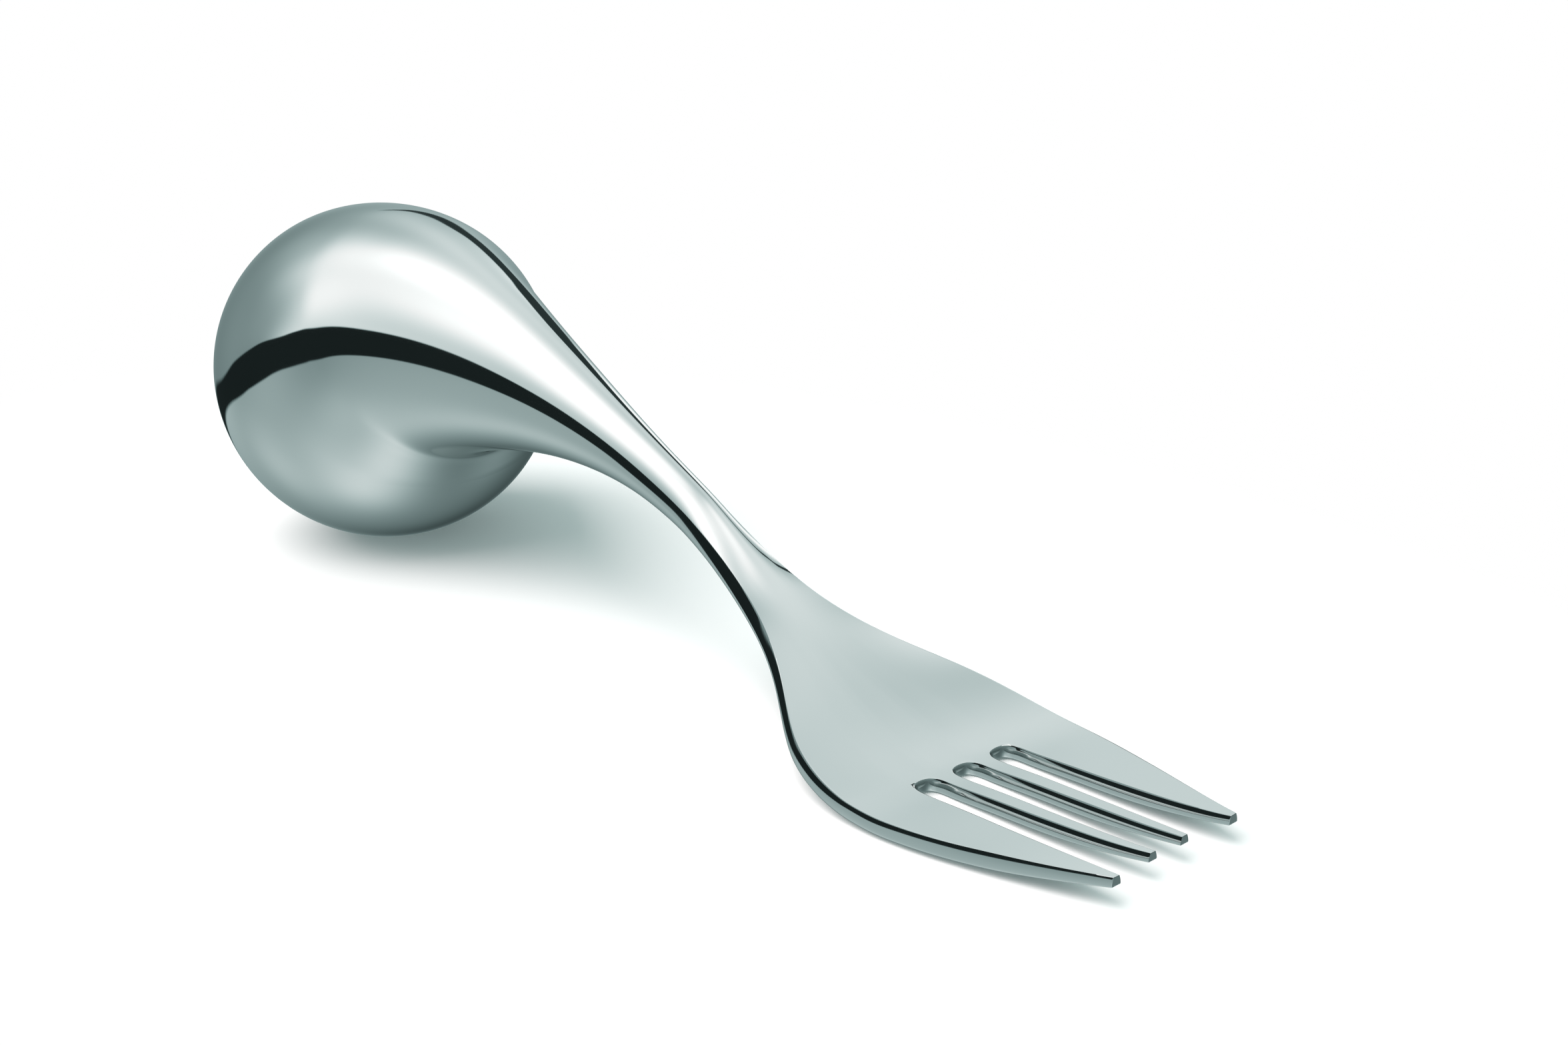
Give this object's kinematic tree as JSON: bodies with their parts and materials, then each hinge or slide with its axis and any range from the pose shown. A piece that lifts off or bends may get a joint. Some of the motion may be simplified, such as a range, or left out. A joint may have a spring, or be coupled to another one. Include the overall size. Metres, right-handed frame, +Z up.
{
  "type": "table fork",
  "caption": "Polished steel table fork with a slotted, slightly dished head, an arched tapering neck and a hollow ball for a grip, lying on its ball and palm.",
  "frame": {"origin": "middle of the box around the fork, on the table it lies on", "axes": "+X along the fork from the ball to the tines, +Y to the left, +Z up from the table"},
  "size_m": [0.1592, 0.046, 0.046],
  "materials": {
    "head_steel": "mirror polished",
    "shell_steel": "mirror polished",
    "weld_steel": "ground flush and polished",
    "filler": "cured resin cement"
  },
  "bodies": {
    "root": {"fork_head": "head_steel", "left_shell": "shell_steel", "right_shell": "shell_steel", "seam_weld": "weld_steel", "neck_weld": "weld_steel", "tang_filler": "filler"}
  },
  "joints": []
}
